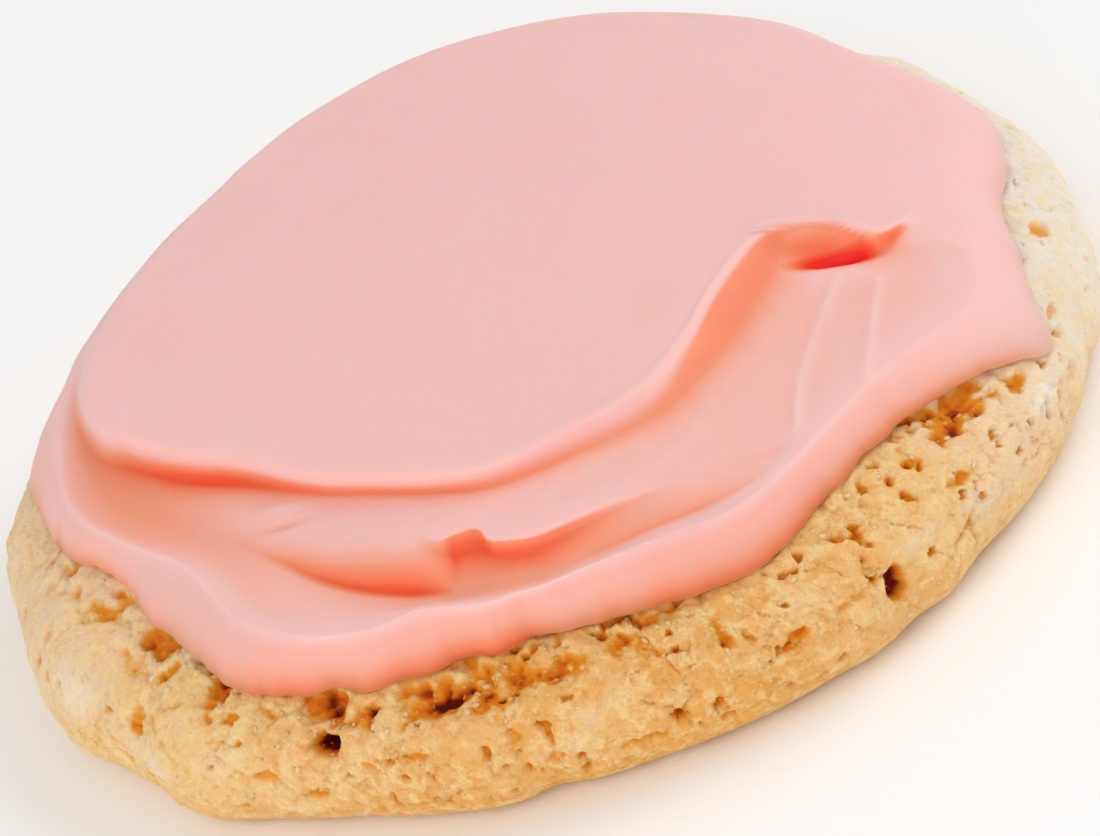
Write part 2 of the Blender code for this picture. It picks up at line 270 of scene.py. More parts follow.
def colour(hexText):
    # sRGB hex to linear RGBA
    parts = [int(hexText[i:i + 2], 16) / 255 for i in (1, 3, 5)]
    return tuple(c / 12.92 if c <= 0.04045 else ((c + 0.055) / 1.055) ** 2.4 for c in parts) + (1.0,)


def addNode(material, kind, settings, links={}):
    # one node with its settings (socket name, socket number or property) and its incoming links
    tree = material.node_tree
    node = tree.nodes.new(kind)
    for key, value in settings.items():
        if isinstance(key, str) and key not in node.inputs:
            setattr(node, key, value)
        else:
            node.inputs[key].default_value = value
    for key, source in links.items():
        tree.links.new(source, node.inputs[key])
    return node


def newMaterial(name):
    material = bpy.data.materials.new(name)
    material.use_nodes = True
    shader = material.node_tree.nodes["Principled BSDF"]
    return material, shader


crumb = {
    "spokes": 940,
    "topRings": [0.3, 0.55, 0.7],          # share of the rim, under the icing
    "sideStart": 34.5,                     # fine rings begin here, under the icing's edge
    "sideRings": 68, "lowRings": 24,
    "footRings": [0.985, 0.95, 0.88, 0.75, 0.55, 0.3],
    "depth": 0.4,                          # mean depth of the torn surface below the smooth form
    # hollows: angle, height, half width, half height, depth
    "hollows": [(235.7, 8.7, 1.15, 0.95, 4.2), (235.2, 10.9, 2.1, 0.9, 1.1), (222.3, 11.8, 1.1, 0.8, 1.3),
                (212.3, 9.0, 0.8, 1.2, 0.7), (209.6, 4.9, 0.9, 0.6, 0.6), (247, 10.8, 2.6, 0.8, 0.8),
                (254, 10.4, 4.0, 0.9, 0.7), (261, 10.6, 2.5, 0.7, 0.5),
                (293.3, 5.7, 1.1, 1.5, 1.6), (289.5, 7.2, 2.4, 0.4, 0.5), (210.5, 12.4, 2.6, 0.7, 0.9),
                (187, 12.4, 1.6, 0.6, 0.6), (199.5, 12.2, 2.6, 0.5, 0.7), (255, 6.4, 0.6, 2.4, 0.35),
                (311, 11.2, 3.6, 0.8, 0.9), (265.8, 3.9, 1.6, 0.6, 0.6), (276.5, 9.3, 0.5, 1.0, 0.7),
                (278.6, 8.7, 0.4, 0.8, 0.6), (282.6, 6.6, 1.2, 0.5, 0.7), (325, 5.6, 1.0, 0.6, 0.4),
                (318, 9.6, 1.8, 0.5, 0.5), (329.3, 9.3, 1.0, 0.4, 0.5), (334.7, 11.6, 1.0, 0.35, 0.4),
                (342, 10.8, 1.2, 0.35, 0.35), (327, 8.2, 0.5, 0.5, 0.5), (233.5, 4.6, 0.9, 0.4, 0.6), (229, 6.2, 1.2, 0.35, 0.4),
                (305, 8.5, 1.2, 0.5, 0.6), (240, 7.0, 0.6, 0.5, 0.6), (245, 7.6, 0.9, 0.4, 0.5),
                (72, 7.5, 1.4, 1.0, 0.7), (105, 10.0, 1.6, 0.8, 0.6), (148, 8.5, 1.4, 1.0, 0.7)],
    # groove in the shadow of the icing's edge: angle, depth
    "groove": [(175, 0.1), (190, 0.5), (200, 0.45), (213, 0.8), (221, 0.5), (228, 0.25), (236, 0.7),
               (242, 0.8), (250, 1.2), (262, 0.9), (275, 0.45), (290, 0.3), (300, 0.5), (312, 0.7), (322, 0.2),
               (340, 0.05), (20, 0.05), (90, 0.2), (140, 0.2)],
    # how rough the side is: angle, share
    "relief": [(180, 0.45), (200, 0.6), (215, 0.8), (232, 1), (300, 1), (315, 0.8), (330, 0.5), (345, 0.38),
               (20, 0.36), (60, 0.5), (110, 0.7), (150, 0.55)],
    # raised flakes: angle, height, half width, half height, rise
    "flakes": [(260.2, 6.0, 1.9, 0.9, 0.25), (262.5, 7.6, 1.2, 0.8, 0.25), (256.3, 5.0, 0.8, 0.5, 0.25),
               (266, 8.2, 1.6, 0.9, 0.2), (270.5, 6.4, 1.5, 0.8, 0.2), (243, 9.0, 1.5, 0.8, 0.15),
               (225, 8.0, 2.0, 1.2, 0.2), (216, 6.5, 2.2, 1.2, 0.2), (203, 8.5, 2.4, 1.3, 0.2),
               (284, 8.6, 1.8, 0.9, 0.2), (297, 7.6, 1.6, 0.9, 0.2), (318.4, 7.6, 1.6, 1.0, 0.35),
               (306, 6.0, 1.8, 1.0, 0.2), (232, 3.4, 1.4, 0.6, 0.2)],
    # painted light: share of the pale tone, highest on the side towards the key lamp and lowest on the shaded front:
    # angle, share
    "paintedLight": [(180, 1.6), (200, 1.5), (215, 1.1), (235, 0.65), (260, 0.35), (285, 0.5), (300, 1.0),
             (315, 1.7), (330, 2.3), (345, 2.8), (10, 3.0), (60, 2.5), (110, 1.5), (150, 1.3)],
}


def crumbRelief(points, angle, height):
    # depth of the torn crumb inside the smooth form, as a sum of
    # clods: two slow noises; plates, lumps and grains: cells of three sizes, each set at its own
    # level and tilt, with grooves where two cells meet; pits: a noise that passes a threshold;
    # hollows: steep bells with a ragged outline; groove: a bell below the icing's edge
    ragged = np.stack([softNoise(points, 0.8, 21 + k) + 0.5 * softNoise(points, 0.4, 26 + k)
                       for k in range(3)], 1)
    along, upward = ragged[:, 0], ragged[:, 1]
    clods = 0.24 * softNoise(points, 6.5, 1) + 0.16 * softNoise(points, 3.1, 2)
    near, second, own, slope = grains(points + 0.34 * ragged, 4.4, 5)
    torn = ease((softNoise(points, 5.0, 44) + 0.15) / 0.5)
    plates = 0.34 * (own - 0.5) + 0.05 * slope - 0.45 * torn * bell((second - near) / 0.26)
    near, second, own, slope = grains(points + 0.22 * ragged, 1.7, 15)
    torn = ease((softNoise(points, 2.4, 45) - 0.05) / 0.4)
    lumps = 0.16 * (own - 0.5) + 0.09 * slope - 0.22 * torn * bell((second - near) / 0.15)
    near, second, own, slope = grains(points + 0.1 * ragged, 0.66, 25)
    fine = 0.07 * (own - 0.5) + 0.11 * slope
    openness = 0.5 + 0.5 * softNoise(points, 8.0, 31)
    high = ease((height - 1.0) / 2.5)
    relief, = around(angle, crumb["relief"])
    pitNoise = softNoise(points, 1.5, 33) + 0.6 * softNoise(points, 0.75, 34) + 0.25 * along
    pits = ease((pitNoise - 1.35 + 0.42 * openness * high + 0.34 * relief) / 0.14)
    rough = relief * (1 - 0.7 * (1 - ease((height - 0.8) / 2.0)))        # smoother just above the foot
    depth = crumb["depth"] - clods - rough * (0.7 * plates + 0.8 * lumps + 1.2 * fine - 0.6 * pits)
    for at, level, halfWidth, halfHeight, deep in crumb["hollows"]:
        across = np.radians(turn(angle, at)) * form["rimRadius"] / halfWidth + 0.3 * along / halfWidth
        up = (height - level) / halfHeight + 0.3 * upward / halfHeight
        depth = depth + 0.85 * deep * np.exp(-(across**2 + up**2) ** 2.5)
    for at, level, halfWidth, halfHeight, rise in crumb["flakes"]:
        across = np.radians(turn(angle, at)) * form["rimRadius"] / halfWidth + 0.4 * along / halfWidth
        up = (height - level) / halfHeight + 0.4 * upward / halfHeight
        depth = depth - rise * np.exp(-(across**2 + up**2) ** 2)
    groove, = around(angle, crumb["groove"])
    under = dome(edgeRadius(angle), rimRadius(angle)) - 0.7 - height
    pillars = softNoise(points * np.array([1, 1, 0.25]), 1.2, 52) + 0.4 * along
    depth = depth + 0.85 * groove * (0.75 + 0.75 * pillars) * bell(under / 1.1)
    return np.maximum(depth, -0.35)


def paintedLightShare(angle, height):
    # painted light: share of the pale tone, a closed curve round the side that is highest towards the key lamp, less
    # near the foot, more on the raised flakes
    share, = around(angle, crumb["paintedLight"])
    share = share * (0.6 + 0.4 * ease((height - 1) / 6))
    for at, level, halfWidth, halfHeight, rise in crumb["flakes"]:
        across = np.radians(turn(angle, at)) * form["rimRadius"] / halfWidth
        share = share + 4 * rise * bell(np.hypot(across, (height - level) / halfHeight))
    return share


def blurRings(grid, times):
    # mean with the neighbours on the same ring and on the next rings, repeated
    for _ in range(times):
        grid = (grid + np.roll(grid, 1, 1) + np.roll(grid, -1, 1)) / 3
        inner = np.concatenate([grid[:1], grid[:-1]])
        outer = np.concatenate([grid[1:], grid[-1:]])
        grid = (grid + inner + outer) / 3
    return grid


def makeCookie():
    angle = spokeAngles(crumb["spokes"], 22)
    rim = rimRadius(angle)
    n, rise = form["shoulder"], form["domeHeight"] - form["rimHeight"]
    # even spacing down the side: the superellipse angle b at equal steps of arc length
    b = np.linspace(math.acos((crumb["sideStart"] / form["rimRadius"]) ** (n / 2)), 0, 3000)
    r, z = form["rimRadius"] * np.cos(b) ** (2 / n), rise * np.sin(b) ** (2 / n)
    arc = np.concatenate([[0], np.cumsum(np.hypot(np.diff(r), np.diff(z)))])
    b = np.interp(np.linspace(0, arc[-1], crumb["sideRings"]), arc, b)
    radii = [rim * share for share in crumb["topRings"]]
    levels = [dome(radius, rim) for radius in radii]
    outs, ups = zip(*[domeNormal(radius, rim) for radius in radii])
    outs, ups = list(outs), list(ups)
    for each in b:
        radius = rim * np.cos(each) ** (2 / n)
        radii.append(radius)
        levels.append(form["rimHeight"] + rise * np.sin(each) ** (2 / n) + 0 * radius)
        out, up = domeNormal(np.minimum(radius, rim * 0.99999), rim)
        outs.append(out)
        ups.append(up)
    for a in np.radians(np.linspace(0, 90, crumb["lowRings"] + 1)[1:]):
        radii.append(rim - form["footInset"] * (1 - np.cos(a)))
        levels.append(form["rimHeight"] * (1 - np.sin(a)) + 0 * rim)
        outs.append(np.cos(a) + 0 * rim)
        ups.append(-np.sin(a) + 0 * rim)
    radii, levels, outs, ups = (np.array(x) for x in (radii, levels, outs, ups))
    angles = np.broadcast_to(angle, radii.shape)
    c, s = np.cos(np.radians(angles)), np.sin(np.radians(angles))
    smooth = np.stack([radii * c, radii * s, levels], -1)
    depth = crumbRelief(smooth.reshape(-1, 3), angles.ravel(), levels.ravel()).reshape(radii.shape)
    # under the icing the crumb stays close below the coat and is levelled off
    edge = edgeRadius(angle)
    levels = np.where(radii < edge - 1.6, np.minimum(levels, coat["bed"] - 0.1), levels)
    under = ease((edge - 1.2 - radii) / 1.5) * (levels > 8)
    depth = depth * (1 - under) + 0.25 * under
    foot = np.zeros(len(radii))
    foot[-crumb["lowRings"]:] = ease(np.linspace(0, 1, crumb["lowRings"]) * 1.05)
    depth = depth * (1 - foot[:, None])
    # painted shade: how far the crumb lies below its blurred neighbours, plus how deep it lies, tints pits, hollows and
    # the groove under the icing's edge ochre to dark brown
    pitShade = np.clip((depth - blurRings(depth, 20)) / 0.5, -0.5, 1.5)
    pitShade = pitShade + np.clip((blurRings(depth, 3) - 0.7) / 0.9, 0, 2)
    radii = radii - outs * depth
    levels = np.maximum(levels - ups * depth, 0)
    rows = [np.stack([radii * c, radii * s, levels], -1)]
    pits = [pitShade]
    for share in crumb["footRings"]:
        ring = rows[0][-1] * np.array([share, share, 0])
        rows.append(ring[None])
        pits.append(np.zeros((1, len(angle))))
    rings = np.concatenate(rows)
    rings[..., :2] += form["middle"]
    pitShade = np.concatenate(pits).ravel()
    x0, y0 = form["middle"]
    paintedLight = paintedLightShare(np.broadcast_to(angle, rings.shape[:2]), rings[..., 2])
    return turned("cookieCrumb", rings, [x0, y0, form["domeHeight"] - 0.2], [x0, y0, 0.0],
                  {"pitShade": np.concatenate([pitShade, [0, 0]]), "paintedLight": np.concatenate([paintedLight.ravel(), [0.5, 0.5]])})


grainSet = {
    "seed": 4, "count": 1700,
    "small": 0.08, "large": 0.30,          # half the size of a grain
    "flatten": 0.62, "sink": 0.12,         # against the crumb, as a share of its size
}


def makeGrains(cookie):
    # loose grains baked into the crumb: twenty-sided stones pulled out of shape, each set on a
    # vertex of the exposed crumb, flattened against it and sunk by nearly half
    random = np.random.default_rng(grainSet["seed"])
    golden = (1 + math.sqrt(5)) / 2
    stone = np.array([(0, a, b * golden) for a in (-1, 1) for b in (-1, 1)])
    stone = np.concatenate([stone, stone[:, [1, 2, 0]], stone[:, [2, 0, 1]]]) / math.hypot(1, golden)
    gaps = np.linalg.norm(stone[:, None] - stone[None], axis=2)
    sides = [(i, j, k) for i, j, k in itertools.combinations(range(12), 3)
             if max(gaps[i, j], gaps[j, k], gaps[i, k]) < 1.1]
    sides = np.array([(i, j, k) if np.dot(np.cross(stone[j] - stone[i], stone[k] - stone[i]), stone[i]) > 0
                      else (i, k, j) for i, j, k in sides])
    mesh = cookie.data
    points, normals = np.zeros(len(mesh.vertices) * 3), np.zeros(len(mesh.vertices) * 3)
    pitShade = np.zeros(len(mesh.vertices))
    mesh.vertices.foreach_get("co", points)
    mesh.vertices.foreach_get("normal", normals)
    mesh.attributes["pitShade"].data.foreach_get("value", pitShade)
    points, normals = points.reshape(-1, 3) / mm, normals.reshape(-1, 3)
    x0, y0 = form["middle"]
    radius = np.hypot(points[:, 0] - x0, points[:, 1] - y0)
    angle = np.degrees(np.arctan2(points[:, 1] - y0, points[:, 0] - x0))
    bare = (radius > edgeRadius(angle) + 0.3) & (points[:, 2] > 1.2)
    near = bell((radius - edgeRadius(angle) - 1.2) / 1.4)
    weight = bare * (0.35 + 1.0 * near + 0.6 * np.clip(pitShade, 0, 1)) * around(angle, crumb["relief"])[0]
    count = grainSet["count"]
    chosen = random.choice(len(points), count, p=weight / weight.sum())
    size = grainSet["small"] + (grainSet["large"] - grainSet["small"]) * random.random(count) ** 3
    turns, _ = np.linalg.qr(random.normal(size=(count, 3, 3)))
    stretch = 0.5 + 1.0 * random.random((count, 1, 3))
    bumps = 0.6 + 0.7 * random.random((count, 12, 1))
    shapes = np.einsum("nij,nkj->nki", turns, stone[None] * stretch * bumps) * size[:, None, None]
    flip = np.sign(np.linalg.det(turns))
    out = normals[chosen]
    shapes = shapes - grainSet["flatten"] * np.einsum("nij,nj->ni", shapes, out)[:, :, None] * out[:, None]
    corners = (shapes + (points[chosen] - grainSet["sink"] * size[:, None] * out)[:, None]).reshape(-1, 3)
    faces = sides[None] + 12 * np.arange(count)[:, None, None]
    faces = np.where(flip[:, None, None] > 0, faces, faces[:, :, ::-1]).reshape(-1, 3)
    # each grain takes half the painted shade of the crumb under it plus a random tone, and is half a step paler in
    # painted light
    tone = np.repeat(pitShade[chosen] * 0.5 + 0.2 * random.random(count) - 0.15, 12)
    paintedLight = paintedLightShare(angle[chosen], points[chosen, 2])
    return meshObject("crumbGrains", corners * mm, [faces],
                      {"pitShade": tone, "paintedLight": np.repeat(paintedLight + 0.5, 12)}, False)


coat = {
    "spokes": 860,
    # rings: up to the crest, round the crest, to the ledge, round the ledge, to the raised line, face;
    # the disc inside them has one spoke for every discShare spokes
    "rings": [7, 24, 18, 15, 12, 17], "discRings": 42, "discShare": 4, "discRadius": 15.5,
    "plateauHeight": 19.6, "plateauFall": 1.6, "plateauTilt": 0.9, "tiltAngle": 78, "fallRadius": 34,
    # height of the skirt at skirtStart: angle, height
    "skirt": [(-75, 17.0), (-52, 17.0), (-44, 16.9), (-38, 16.9), (-35, 17.1), (-33, 17.2), (-31, 17.5),
              (-29.5, 18.0), (-28, 18.3), (-26.5, 18.8), (-25, 19.5), (-22, 20.5), (-15, 20.8), (15, 20.8), (40, 19.8), (70, 19.0), (110, 18.7), (150, 18.0), (175, 17.3),
              (200, 16.9), (225, 16.9), (255, 17.0)],
    "skirtStart": 24, "skirtSlope": 0.17, "sideFall": 1.7,
    "edgeSink": 0.1,                       # the thin edge sinks a little into the crumb
    "gap": 0.08, "bed": 12.6,              # hidden underside is no higher than the bed
    # crest round the plateau: x, y, width of the step down, height and half width of the roll on the
    # crest, how far the crest leans over, painted shade at the step
    "crest": [(30.8, 4.0, 8.0, 0, 1, 0, 0), (27.0, 17.5, 5.5, 0, 1, 0, 0), (17.9, 30.4, 3.6, 0, 1, 0, 0),
              (3.4, 35.9, 3.2, 0, 1, 0, 0), (-8.7, 33.5, 3.6, 0, 1, 0, 0), (-20.7, 25.0, 4.6, 0, 1, 0, 0),
              (-28.4, 16.4, 4.6, 0.05, 2, 0, 0), (-31.3, 11.0, 3.0, 0.15, 2, 0, 0),
              (-32.3, 6.6, 2.0, 0.25, 2, 0, 0.1), (-31.9, 1.7, 1.4, 0.35, 2.2, 0.2, 0.2),
              (-30.2, -1.6, 1.2, 0.45, 2.3, 0.4, 0.45), (-28.0, -5.1, 1.1, 0.5, 2.4, 0.5, 0.8),
              (-25.4, -8.4, 1.1, 0.5, 2.4, 0.5, 1.05), (-22.3, -11.6, 1.1, 0.5, 2.2, 0.6, 1.05),
              (-18.1, -16.8, 0.9, 0.45, 1.9, 1.0, 0.68), (-13.5, -20.7, 0.8, 0.4, 1.6, 1.1, 0.55),
              (-8.6, -24.0, 0.8, 0.35, 1.3, 0.9, 0.55), (-4.4, -25.3, 1.0, 0.25, 1.0, 0.6, 0.45),
              (1.6, -24.9, 1.3, 0.2, 0.8, 0.3, 0.35), (4.4, -24.6, 1.5, 0.18, 0.7, 0.2, 0.35),
              (7.6, -23.4, 1.8, 0.18, 0.6, 0.15, 0.5), (11.1, -20.6, 2.2, 0.2, 0.5, 0.1, 0.7),
              (12.5, -19.1, 2.4, 0.2, 0.5, 0.1, 0.85), (13.8, -17.3, 2.5, 0.2, 0.5, 0.1, 0.9),
              (15.3, -15.5, 2.5, 0.2, 0.5, 0.1, 0.85), (17.1, -13.7, 2.3, 0.22, 0.6, 0.1, 0.85),
              (19.2, -12.0, 1.8, 0.26, 0.7, 0.2, 0.8), (21.5, -11.3, 1.4, 0.3, 0.8, 0.3, 0.9),
              (23.8, -12.1, 1.2, 0.32, 0.8, 0.3, 1.0), (25.6, -14.0, 1.0, 0.3, 0.8, 0.15, 1.0),
              (27.0, -15.6, 0.6, 0.28, 0.7, 0.1, 1.1), (28.3, -15.8, 0.4, 0.22, 0.6, 0.1, 1.3),
              (29.7, -15.1, 0.35, 0.18, 0.5, 0.1, 1.5), (30.9, -14.0, 0.4, 0.12, 0.5, 0.1, 1.2),
              (31.6, -12.4, 3.0, 0, 0.8, 0, 0), (31.8, -9.5, 6.0, 0, 1, 0, 0), (31.6, -4.0, 8.0, 0, 1, 0, 0)],
    # torn ledge in the skirt: angle, radius of its top, radius of its foot, drop, how abrupt, lift
    "ledge": [(200, 28.4, 29.8, 0, 0, 0), (214, 28.2, 30.0, 0.1, 0, 0), (221, 28.6, 30.6, 0.3, 0, 0),
              (226, 29.0, 31.0, 0.6, 0, 0), (231, 29.2, 31.7, 0.9, 0, 0), (239, 29.2, 32.7, 1.2, 0, 0),
              (246, 29.6, 33.2, 1.35, 0.1, 0), (249.6, 30.4, 33.4, 1.35, 0.7, 0),
              (250.6, 30.2, 33.5, 1.35, 1, 0.1), (252, 30.0, 33.5, 1.35, 1, 0.25),
              (254.8, 30.2, 33.5, 1.35, 1, 0.25), (256.4, 31.3, 33.6, 1.3, 1, 0.5),
              (259, 31.9, 33.8, 1.25, 1, 0.7), (262, 32.2, 34.2, 1.2, 1, 0.7),
              (266, 32.0, 34.4, 1.0, 0.9, 0.5), (270, 31.9, 34.6, 0.85, 0.7, 0.3),
              (277, 32.4, 35.2, 0.55, 0.3, 0.1), (283, 33.2, 36.0, 0.35, 0, 0),
              (289, 33.8, 36.6, 0.2, 0, 0), (296, 34.0, 36.6, 0, 0, 0), (305, 33, 35, 0, 0, 0),
              (0, 32, 34, 0, 0, 0), (100, 32, 34, 0, 0, 0)],
    # raised line where the face of the edge begins: angle, radius, height
    "roll": [(160, 36.9, 0), (172, 36.6, 0.1), (184, 36.6, 0.4), (191, 35.9, 0.5), (202, 34.6, 0.55),
             (212, 34.2, 0.6), (219, 35.6, 0.7), (226, 37.6, 0.7), (236, 38.6, 0.7), (243, 38.3, 0.7),
             (248, 37.3, 0.75), (252, 37.6, 0.75), (256, 38.1, 0.7), (261, 37.8, 0.65), (266, 37.3, 0.6),
             (272, 37.3, 0.6), (277, 37.6, 0.55), (281, 38.4, 0.5), (292, 37.6, 0.3), (308, 36.6, 0.1),
             (324, 38.6, 0), (340, 35.2, 0), (0, 35, 0), (20, 34.4, 0), (60, 35.6, 0), (90, 36.4, 0),
             (130, 35.4, 0)],
    # how flat the face of the edge is, 0 is a round shoulder: angle, flatness
    "face": [(170, 0), (195, 0.8), (215, 1), (250, 1), (280, 0.9), (294, 0.5), (306, 0.1), (318, 0), (345, 0),
             (90, 0)],
    # painted shade on the thin face turned from the lamps, and on its lowest edge: angle, share, share
    "faceShade": [(170, 0.6, 0.3), (195, 0.7, 0.6), (213, 0.55, 0.6), (228, 0.85, 0.8), (240, 1.05, 1),
                 (256, 1.05, 1), (270, 1.0, 1), (290, 0.9, 1), (305, 0.7, 1.2), (315, 0.45, 1.2),
                 (325, 0.2, 0.4), (340, 0.2, 0.3), (90, 0.3, 0.5)],
    # ridges drawn by the knife: points (x, y), height, half width
    "ridges": [([(23.3, -17.6), (21.8, -20.1), (20.3, -22.5), (18.2, -26.1), (16.8, -29.0),
                 (15.8, -31.7)], 0.26, 0.40),
               ([(26.1, -19.1), (24.7, -22.2), (23.0, -26.3), (21.8, -29.0)], 0.22, 0.45),
               ([(-3.0, -30.6), (2.0, -31.0), (6.0, -30.2), (9.5, -28.4)], 0.12, 0.8),
               ([(-24, 20), (-12, 24), (0, 24), (10, 21)], 0.06, 1.2),
               ([(-16, 31), (-2, 38), (12, 36)], 0.15, 1.0)],
    # swells and dents: x, y, half length, half width, direction, height
    "swells": [(24.0, -15.1, 2.8, 0.8, -16, -1.0), (24.3, -17.6, 2.4, 1.1, -18, 0.25),
               (-20.4, -17.0, 1.9, 0.75, -26, 0.28), (-20.9, -18.6, 1.5, 0.4, -20, -0.35),
               (-7.8, -20.6, 1.6, 0.55, -23, -0.16), (-7.8, -20.6, 0.9, 0.25, -23, 0.10),
               (-6.7, 11.6, 0.8, 0.3, 20, -0.22), (-8.6, 16.3, 3.2, 0.5, 10, -0.10),
               (31.3, -25.9, 1.3, 0.6, -30, -0.2), (9.1, 6.7, 1.1, 0.4, -20, 0.08),
               (-7.1, -2.1, 1.3, 0.45, -25, 0.08), (-10.0, -2.2, 1.1, 0.4, -25, 0.06),
               (1.8, -19.1, 1.2, 0.4, -25, 0.12), (32.0, -15.8, 0.7, 0.25, -5, 0.22),
               (13.5, -33.0, 2.0, 0.8, -5, -0.2), (3.0, -36.4, 2.0, 0.7, -20, -0.12),
               (-12, -27.5, 1.3, 0.35, -30, 0.12), (-15.5, -27.0, 0.5, 0.25, -30, 0.12),
               (-30, 19, 4, 1.5, 60, -0.2), (22, 27, 5, 1.2, -50, -0.2), (8, 33, 6, 1.6, -10, -0.15)],
}


def ovalBell(x, y, px, py, half, across, direction):
    # bell over an oval round (px, py) that is turned by direction
    c, s = math.cos(math.radians(direction)), math.sin(math.radians(direction))
    return bell(np.hypot(((x - px) * c + (y - py) * s) / half, ((y - py) * c - (x - px) * s) / across))


def icingTop(x, y):
    # height of the coat: plateau, then a step down to the skirt at the crest, then the torn ledge,
    # with rolls, ridges and dents added; also the sideways lean of crest and lip, and the amount of painted shade
    x0, y0 = form["middle"]
    radius = np.hypot(x - x0, y - y0)
    angle = np.degrees(np.arctan2(y - y0, x - x0)) % 360
    flat = np.stack([x, y, 0 * x], 1)
    share = radius / coat["fallRadius"]
    plateau = coat["plateauHeight"] - coat["plateauFall"] * share**2
    plateau = plateau + coat["plateauTilt"] * share * np.cos(np.radians(angle - coat["tiltAngle"]))
    plateau = plateau - coat["sideFall"] * share**6 * bell(turn(angle, 5) / 50)
    start, = around(angle, coat["skirt"])
    skirt = np.minimum(start - coat["skirtSlope"] * (radius - coat["skirtStart"]), plateau)
    d, side, (width, roll, half, lean, shadeAmount) = alongPath(x, y, smoothPath(coat["crest"], True))
    d = d + 0.8 * lean + 0.10 * softNoise(flat, 5.0, 61) * bell(d / 5)
    depth = plateau - skirt
    # the wall starts at the crest, is steepest half way and runs out level at its foot
    height = plateau - depth * ease(d / width)
    height = height + roll * np.where(d < -0.3, bell((d + 0.3) / half), bell((d + 0.3) / 0.5))
    double = bell((d + 0.95) / 0.25) - 1.3 * bell((d + 0.35) / 0.25)
    height = height - 0.05 * double * bell(turn(angle, 306) / 16)
    top, foot, drop, abrupt, lift = around(angle, coat["ledge"])
    u = np.clip((radius - top) / (foot - top), 0, 1)
    rolled = 1 - np.sqrt(np.maximum(1 - u**2.4, 0))
    torn = 0.85 * ease(u / 0.16) + 0.15 * ease(u)
    back = ease((radius - foot) / 4.0)
    height = height - drop * ((1 - abrupt) * rolled + abrupt * torn) * (1 - back)
    height = height + 0.35 * lift * np.where(radius < top, bell((radius - top) / 1.3), bell((radius - top) / 0.3))
    crestLine, rise = around(angle, coat["roll"])
    inside = np.maximum(crestLine - radius, 0)
    height = height + rise * (0.3 * bell(inside / 0.45) + 0.7 * bell(inside / 1.7))
    height = height - 0.3 * rise * bell((inside - 3.4) / 1.7)
    for points, tall, halfWidth in coat["ridges"]:
        off, _, _ = alongPath(x, y, smoothPath([p + (0,) for p in points], False))
        height = height + tall * bell(off / halfWidth)
    for px, py, halfLength, across, direction, tall in coat["swells"]:
        height = height + tall * ovalBell(x, y, px, py, halfLength, across, direction)
    height = height + 0.10 * softNoise(flat, 13.0, 63) + 0.025 * softNoise(flat, 4.2, 64)
    smear = bell((d - 4.0) / 3.5) * bell(turn(angle, 285) / 40)
    height = height + smear * (0.035 * softNoise(flat, 1.1, 65) + 0.02 * softNoise(flat, 0.5, 66))
    shift = lean * np.where(d < 0.1, bell((d - 0.1) / 1.3), bell((d - 0.1) / 0.45))
    lipOut = 0.45 * lift * np.where(radius < top, bell((radius - top) / 0.8), bell((radius - top) / 0.22))
    xs = x + side[:, 0] * shift + lipOut * (x - x0) / np.maximum(radius, 1)
    ys = y + side[:, 1] * shift + lipOut * (y - y0) / np.maximum(radius, 1)
    # painted shade: coral tint at the foot of the step and under the crest, in the pocket under the fold's overhang, in
    # the ledge hollow, on the band and on the plateau beside the crest at the right
    darkest = width * (0.85 - 0.60 * ease(turn(angle, 282) / 22))
    beyond = (d - darkest) / (0.35 + 1.3 * np.maximum(width - 0.9, 0))
    stepFoot = np.where(d < darkest, bell((d - darkest) / (0.4 * darkest + 0.12)),
                        0.62 * bell(beyond) + 0.38 * bell(beyond / 2.4))
    stepShade = shadeAmount * stepFoot * ease((depth + 0.2) / 0.8)
    foldShade = np.maximum(2.8 * ovalBell(x, y, 24.0, -15.1, 3.0, 0.8, -16),
                          1.0 * ovalBell(x, y, 23.2, -13.8, 3.6, 1.5, -25))
    lipShade = drop / 1.4 * (abrupt * np.where(u > 0, bell(u / 0.8), 0)
                            + (1 - abrupt) * (0.7 * u + 0.45 * u**3) * (1 - ease((radius - foot) / 0.9)))
    bandShade = 0.14 + 0.42 * bell(turn(angle, 192) / 24)
    bandShade = bandShade * ease(d / 2.0) * ease(depth / 1.5) * ease((radius - 24) / 8)
    bandShade = bandShade + 0.10 * bell((d + 4) / 3.5) * bell(turn(angle, 305) / 16)
    return height, xs, ys, np.maximum(stepShade, foldShade) + lipShade + bandShade


def ringLayout(angle, edge):
    # radii of the rings along each spoke: guides are the crest, the ledge and the raised line, and
    # the rings are spaced evenly between two guides
    x0, y0 = form["middle"]
    path = smoothPath(coat["crest"], True)[:-1]
    at = np.degrees(np.unwrap(np.arctan2(path[:, 1] - y0, path[:, 0] - x0)))
    at = np.maximum.accumulate(at) + np.arange(len(at)) * 1e-6
    away = np.hypot(path[:, 0] - x0, path[:, 1] - y0)
    even = np.arange(-360, 720) * 1.0
    crestAt = np.minimum(np.interp(even, np.concatenate([at - 360, at, at + 360]), np.tile(away, 3)), 34.5)
    kernel = bell(np.arange(-12, 13) / 4.5)
    crestAt = np.interp(angle, even, np.convolve(crestAt, kernel / kernel.sum(), "same"))
    top, foot, _, _, _ = around(angle, coat["ledge"])
    line = np.minimum(around(angle, coat["roll"])[0], edge - 0.9)
    stops = [coat["discRadius"] + 0 * angle, crestAt - 1.9, crestAt + 1.9]
    stops.append(np.minimum(np.maximum(top - 0.5, stops[-1] + 0.4), line - 1.2))
    stops.append(np.minimum(np.maximum(foot + 0.3, stops[-1] + 0.4), line - 0.8))
    stops[2] = np.minimum(stops[2], stops[3] - 0.2)
    stops.append(line)
    rings = []
    for count, low, high in zip(coat["rings"], stops[:-1], stops[1:]):
        rings += [low + (high - low) * k / count for k in range(count)]
    return np.array(rings + [line])


